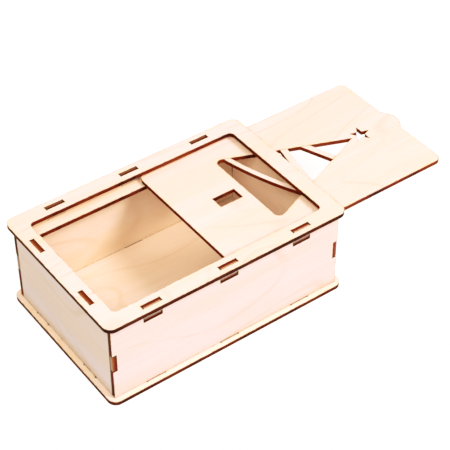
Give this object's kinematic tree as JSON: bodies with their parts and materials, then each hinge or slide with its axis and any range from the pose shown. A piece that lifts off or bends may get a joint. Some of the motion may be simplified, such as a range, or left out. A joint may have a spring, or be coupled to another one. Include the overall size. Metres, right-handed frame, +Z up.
{
  "type": "sliding-lid box",
  "caption": "Press-fit plywood keepsake box with a framed window on top and a sliding lid pierced with a fir tree and a star.",
  "frame": {"origin": "centre of the base panel's underside", "axes": "+Z up, +X the way the lid draws out, +Y from the front wall to the rear wall"},
  "size_m": [0.2734, 0.12, 0.0655],
  "materials": {
    "panel_ply": "bare birch plywood, faces pale and smooth, laser-cut edges browned",
    "wall_ply": "bare birch plywood, faces pale and smooth, laser-cut edges browned",
    "lid_ply": "bare birch plywood, faces pale and smooth, laser-cut edges browned"
  },
  "bodies": {
    "box": {"base_panel": "panel_ply", "front_wall": "wall_ply", "rear_wall": "wall_ply", "left_wall": "wall_ply", "right_wall": "wall_ply", "front_rail": "wall_ply", "rear_rail": "wall_ply", "top_frame": "panel_ply"},
    "lid": {"lid": "lid_ply"}
  },
  "joints": [
    {"name": "lid_slide", "type": "slide", "parent": "box", "child": "lid", "axis": [1, 0, 0], "range_m": [-0.0882, 0.088]}
  ]
}
